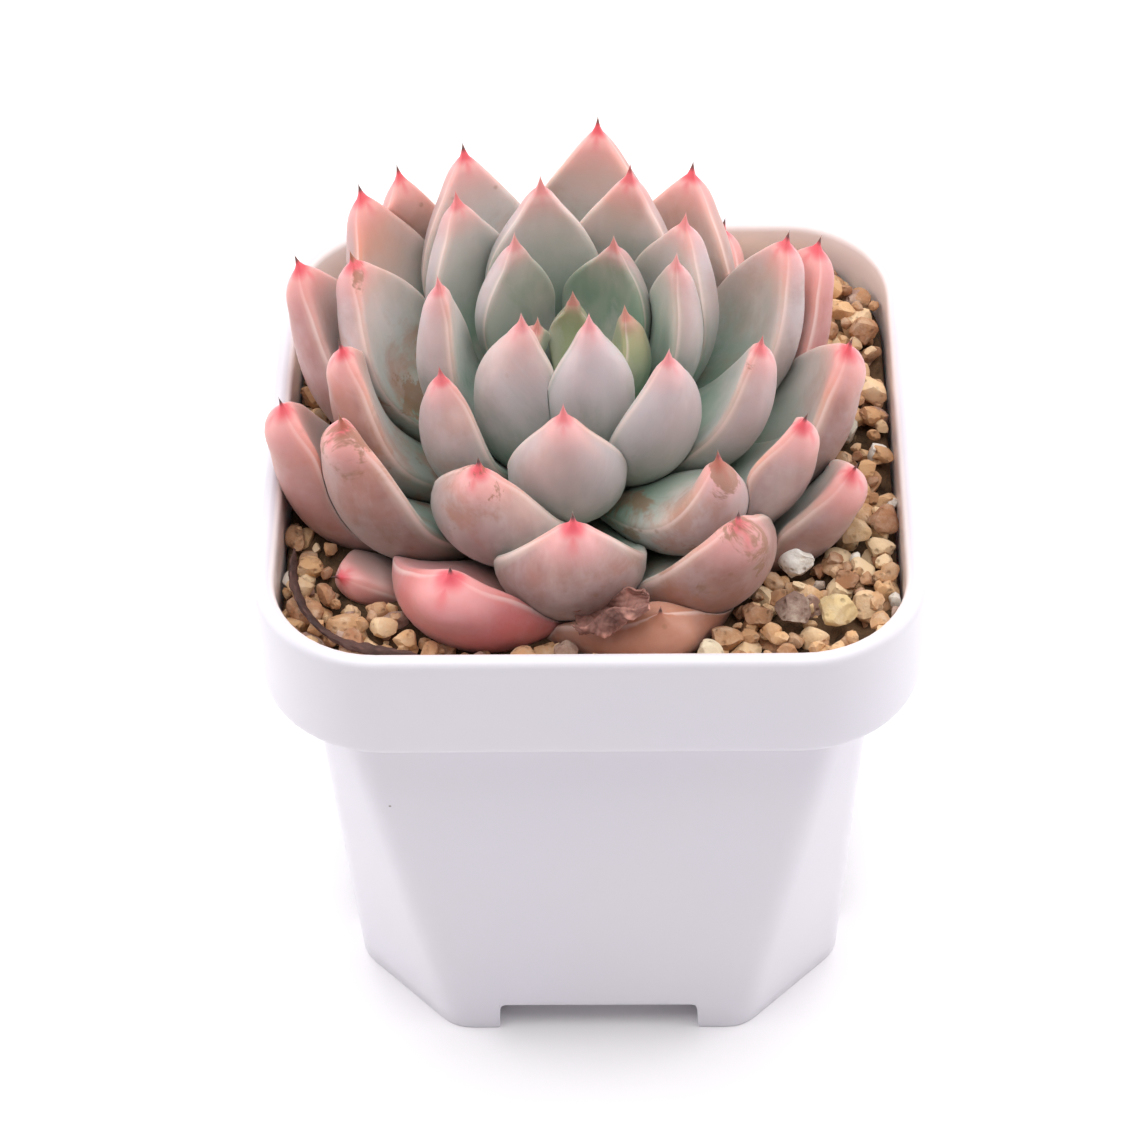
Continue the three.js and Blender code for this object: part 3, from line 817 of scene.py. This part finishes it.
def makeGrit():
    rng = np.random.default_rng(gritPlan["seed"])
    loose = []
    for name in looseLook:
        low, high = cadBox(name)
        loose.append(((low + high) / 2, max(high - low) / 2))
    parts, shades = [], []
    surface = mouth - gritPlan["top"]
    least, most, chipTries = gritPlan["chips"]
    layers = (
        (surface - 3.4, 0.4, *gritPlan["size"], gritPlan["tries"]),
        (surface - 2.0, 0.6, *gritPlan["size"], gritPlan["tries"]),
        (surface - 0.6, 0.8, *gritPlan["size"], gritPlan["tries"]),
        (surface - 1.0, 0.9, least, most, chipTries),
    )
    for layer, (level, spread, small, big, tries) in enumerate(layers):
        placedHere = []
        for _ in range(tries):
            size = rng.uniform(small, big)
            x, y = rng.uniform(-35, 35, 2)
            if not insideMouth(x, y, size * 0.72):
                continue
            if any((x - p[0]) ** 2 + (y - p[1]) ** 2 < (0.7 * (size + p[2])) ** 2 for p in placedHere):
                continue
            climb = smoothStep(-20, 32, 0.8 * x + 0.5 * y)
            z = level + gritPlan["rise"] * climb + rng.uniform(-spread, spread)
            if any(np.linalg.norm(c - (x, y, z)) < 0.85 * (size + r) for c, r in loose):
                continue
            hit = rosetteTree.find_nearest(Vector((x, y, z)))
            outward = (Vector((x, y, z)) - hit[0]).dot(hit[1])
            if outward < 0 or hit[3] < size * 0.62:
                continue
            placedHere.append((x, y, size))
            points, faces = stoneShape(rng, 2 if layer in (0, 3) else 3)
            points = (points * size) @ turnedBy(rng).T * np.array([1, 1, 0.9]) + np.array([x, y, z])
            parts.append((points, faces))
            shades.append(np.full(len(points), rng.random()))
    grit = addMesh("grit_grains", *joined(parts))
    grit.data.set_sharp_from_angle(angle=brokenEdge)
    addValues(grit, "shade", np.concatenate(shades))
    settle(grit, gritMaterial("grit_stone"), "grit", "grit_layer")
    return len(parts)


print("grit made", makeGrit(), "grains")

bedPlan = {
    "wallGap": 0.35,
    "below": 2.0,  # how far the fines lie under the mean surface of the grit
    "bottom": 64.6,
    "uneven": 0.35,
    "rings": 34,
    "seed": 3,
}


def makeBed():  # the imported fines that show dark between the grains
    rng = np.random.default_rng(bedPlan["seed"])
    inset = potPlan["lipWall"] + bedPlan["wallGap"]
    outline = cornerRound(potPlan["width"] / 2 - inset, potPlan["collarCorner"] - inset)
    outline = np.array(fourTimes(outline))
    count = len(outline)
    bottom = bedPlan["bottom"]
    top = mouth - gritPlan["top"] - bedPlan["below"]
    side = ((0.97, bottom), (1, bottom + 0.3), (1, top - 0.4))
    rings = [np.column_stack([outline * share, np.full(count, z)]) for share, z in side]
    for share in np.linspace(0.985, 0.03, bedPlan["rings"]):
        rings.append(np.column_stack([outline * share, top + bedPlan["uneven"] * rng.normal(size=count)]))
    points = np.concatenate(rings + [np.array([[0, 0, bottom], [0, 0, top]])])
    return points, loftFaces(len(rings), count, len(points) - 2, len(points) - 1)


def soilMaterial():
    n = Nodes("potting_mix")
    lumps = n.noise(220, 6, 0.7, 0.3)
    base = n.mix(n.span(lumps, 0.3, 0.75), (0.03, 0.018, 0.01), (0.2, 0.12, 0.065))
    fibre = n.span(n.noise(1.0, 4, 0.7, 1.0, n.stretched((900, 260, 500))), 0.6, 0.72)
    base = n.mix(n.math("MULTIPLY", fibre, 0.5), base, (0.3, 0.2, 0.11))
    n.set(Base_Color=base, Roughness=0.95, Specular_IOR_Level=0.2)
    n.bump(lumps, 0.9, 0.0012)
    return n.material


earth = soilMaterial()
settle(addMesh("grit_bed", *makeBed()), earth, "potting_mix", "grit_layer")
paint("potting_mix", earth)


def barkMaterial():
    n = Nodes("woody_stem")
    rings = n.noise(1.0, 5, 0.7, 0.5, n.stretched((300, 300, 900)))
    bark = n.mix(n.span(rings, 0.3, 0.7), (0.1, 0.07, 0.035), (0.34, 0.25, 0.13))
    n.set(Base_Color=bark, Roughness=0.85)
    n.bump(rings, 0.6, 0.0005)
    return n.material


paint("stem", barkMaterial())


def makeLooseStone(name, color, seed):
    low, high = cadBox(name)
    porous, knobbly, slot = (0.25, 0.09, "pumice") if "pumice" in name else (0.0, 0.0, "grit")
    points, faces = stoneShape(np.random.default_rng(seed), 4, knobbly)
    points = points / np.abs(points).max(0) * (high - low) / 2 + (low + high) / 2
    stone = addMesh(f"{name}_rock", points, faces)
    stone.data.set_sharp_from_angle(angle=brokenEdge)
    addValues(stone, "shade", np.full(len(points), 0.5))
    settle(stone, gritMaterial(f"{name}_look", color, porous), slot, name)


for k, (name, color) in enumerate(looseLook.items()):
    makeLooseStone(name, color, 60 + k)
print("loose stones made")

# withered leaf scrap and dry stalk strip
dryPlan = {
    "leafLength": 8.6,
    "leafWidth": 6.4,
    "leafTilt": 24,
    "leafThick": 0.22,
    "stripHalf": (0.32, 0.6),
    "stripCourse": [  # from the left wall, from the front wall, above the grit
        (1.8, 17.7, 2.8),
        (2, 13.2, 2),
        (4, 8.4, 1.6),
        (7.6, 4.6, 1.7),
        (12.4, 2.5, 2.1),
        (16.8, 1.9, 1.8),
    ],
    "gritTop": 5,
}


def dryMaterial(name, dark, pale):
    n = Nodes(name)
    crest_highlight = n.attribute("crest_highlight")
    crackle = n.noise(190, 6, 0.7, 0.4)
    base = n.mix(n.span(crackle, 0.3, 0.72), dark, pale)
    # painted highlight: the crests of the crumples and bulges are painted lighter than the creases
    base = n.mix(n.span(crest_highlight, 0.45, 1.0), base, tuple(min(1.0, 1.7 * c) for c in pale))
    n.set(Base_Color=base, Roughness=n.span(crackle, 0.2, 0.8, 0.6, 0.9), Specular_IOR_Level=0.35)
    n.set(Subsurface_Weight=0.1, Subsurface_Radius=(1, 0.4, 0.25), Subsurface_Scale=0.0008)
    n.bump(n.math("ADD", crackle, n.noise(700, 3)), 0.5, 0.0004)
    return n.material


def ridge(a):  # sharp creases, with round swells between them
    return 0.5 - np.abs(np.sin(a))


def makeDryLeaf():
    low, high = cadBox("dry_leaf_scrap")
    middle = (low + high) / 2
    u, v = np.meshgrid(np.linspace(-1, 1, 72), np.linspace(-1, 1, 44), indexing="ij")
    radius = 0.38 * dryPlan["leafWidth"] * (1 - 0.35 * u**2)
    roll = math.radians(190) + 2.0 * v * (1 - 0.2 * u) + 0.35 * np.sin(3 * u + 1)  # rolled up, open above
    crumple = 0.55 * ridge(3.1 * u + 1.7 * v) + 0.4 * ridge(2.3 * v - 4.2 * u + 1)
    crumple += 0.2 * ridge(9 * u + 6 * v)
    crumple += 0.14 * ridge(15 * v - 8 * u) + 0.1 * ridge(24 * u + 11 * v)
    x = 0.5 * dryPlan["leafLength"] * u + 0.5 * ridge(2 * v + 1.2 * u)
    y = (radius + crumple) * np.sin(roll)
    z = 0.8 * (radius + crumple) * np.cos(roll) + 0.5 * np.sin(3 * u)
    tilt = math.radians(dryPlan["leafTilt"])
    x, z = x * math.cos(tilt) - z * math.sin(tilt), x * math.sin(tilt) + z * math.cos(tilt)
    flat = np.stack([x, y, z], 2).reshape(-1, 3)
    flat += middle - (flat.min(0) + flat.max(0)) / 2
    rows, columns = u.shape
    starts = [i * columns + j for i in range(rows - 1) for j in range(columns - 1)]
    faces = [(k, k + columns, k + columns + 1, k + 1) for k in starts]
    scrap = addMesh("dry_leaf_curl", flat, faces)
    # how far out each point swells, which drives the painted highlight on the crests
    addValues(scrap, "crest_highlight", np.clip(0.5 + 0.9 * crumple, 0, 1).reshape(-1))
    skin = scrap.modifiers.new("skin", "SOLIDIFY")
    skin.thickness = dryPlan["leafThick"] * mm
    skin.offset = 0
    applyModifiers(scrap)
    look = dryMaterial("dry_leaf", (0.13, 0.055, 0.045), (0.42, 0.21, 0.17))
    settle(scrap, look, "dry_leaf", "dry_leaf_scrap")


def smoothCourse(points, count):  # a smooth line through the points
    padded = np.array([2 * points[0] - points[1], *points, 2 * points[-1] - points[-2]])
    line = []
    for t in np.linspace(0, len(points) - 1 - 1e-6, count):
        i, f = int(t), t - int(t)
        a, b, c, d = padded[i : i + 4]
        square, cube = 2 * a - 5 * b + 4 * c - d, 3 * b - a - 3 * c + d
        line.append(0.5 * (2 * b + (c - a) * f + square * f**2 + cube * f**3))
    return np.array(line)


def makeDryStrip():
    wall = potPlan["width"] / 2 - potPlan["lipWall"]
    surface = mouth - dryPlan["gritTop"]
    course = [np.array([a - wall, b - wall, surface + c]) for a, b, c in dryPlan["stripCourse"]]
    steps, sides = 130, 18
    line = smoothCourse(course, steps)
    ahead = np.gradient(line, axis=0)
    ahead /= np.linalg.norm(ahead, axis=1, keepdims=True)
    aside = np.cross(ahead, [0, 0, 1])
    aside /= np.linalg.norm(aside, axis=1, keepdims=True)
    up = np.cross(aside, ahead)
    t = np.linspace(0, 1, steps)[:, None]
    angle = np.linspace(0, 2 * np.pi, sides, endpoint=False)[None, :]
    ragged = 1 + 0.16 * np.sin(5 * angle + 30 * t) + 0.12 * np.sin(3 * angle - 55 * t)
    ragged = ragged + 0.1 * np.sin(90 * t)
    taper = np.clip(np.minimum(t, 1 - t) / 0.06, 0.25, 1) ** 0.6
    twist = 2.6 * t + 0.4 * np.sin(9 * t)
    thick = dryPlan["stripHalf"][0] * np.sin(angle) * taper
    wide = dryPlan["stripHalf"][1] * np.cos(angle) * ragged * taper
    a = wide * np.sin(twist) + thick * np.cos(twist)
    b = wide * np.cos(twist) - thick * np.sin(twist)
    points = line[:, None, :] + aside[:, None, :] * a[..., None] + up[:, None, :] * b[..., None]
    points = np.concatenate([points.reshape(-1, 3), line[:1], line[-1:]])
    strip = addMesh("dry_stalk_twist", points, loftFaces(steps, sides, len(points) - 2, len(points) - 1))
    # painted highlight where the strip bulges out
    addValues(strip, "crest_highlight", np.append(np.clip(ragged - 0.6, 0, 1) * np.ones((steps, sides)), [0.5, 0.5]))
    look = dryMaterial("dry_stalk", (0.03, 0.014, 0.012), (0.11, 0.055, 0.045))
    settle(strip, look, "dry_leaf", "dry_stalk_strip")


makeDryLeaf()
makeDryStrip()
print("dry pieces made")

# stage: white sweep and soft light from above, the sides and behind
stagePlan = {
    "sky": (1.0, 0.985, 0.99),
    "skyStrength": 0.4,
    "top": 9.5,
    "sides": 3.5,
    "back": 3.0,
    "floor": (0.94, 0.925, 0.94),
    "floorHalf": 3000,
    "aim": (0, 0, 0.06),  # lights are placed in metres
}


def addLight(name, place, size, power):
    lamp = bpy.data.objects.new(name, bpy.data.lights.new(name, "AREA"))
    bpy.context.scene.collection.objects.link(lamp)
    lamp.data.shape = "RECTANGLE"
    lamp.data.size, lamp.data.size_y = size
    lamp.data.energy = power
    lamp.location = place
    lamp.rotation_euler = (Vector(stagePlan["aim"]) - Vector(place)).to_track_quat("-Z", "Y").to_euler()


def makeStage():
    world = bpy.data.worlds.new("sky")
    bpy.context.scene.world = world
    world.use_nodes = True
    background = world.node_tree.nodes["Background"]
    background.inputs[0].default_value = (*stagePlan["sky"], 1)
    background.inputs[1].default_value = stagePlan["skyStrength"]
    far = stagePlan["floorHalf"]
    points = [(-far, -far, 0), (far, -far, 0), (far, far, 0), (-far, far, 0)]
    floor = addMesh("floor", points, [(0, 1, 2, 3)], smooth=False)
    n = Nodes("white_floor")
    tone = n.mix(n.noise(6, 2), stagePlan["floor"], tuple(0.99 * c for c in stagePlan["floor"]))
    n.set(Base_Color=tone, Roughness=0.6, Specular_IOR_Level=0.2)
    floor.data.materials.append(n.material)
    addLight("light_top", (0, 0.05, 0.95), (1.1, 1.1), stagePlan["top"])
    addLight("light_left", (-0.8, 0.1, 0.4), (0.7, 0.7), stagePlan["sides"])
    addLight("light_right", (0.8, 0.1, 0.4), (0.7, 0.7), stagePlan["sides"])
    addLight("light_back", (0, 0.85, 0.45), (1.0, 0.6), stagePlan["back"])


makeStage()
bpy.context.scene.view_settings.view_transform = "Standard"
print("stage made")
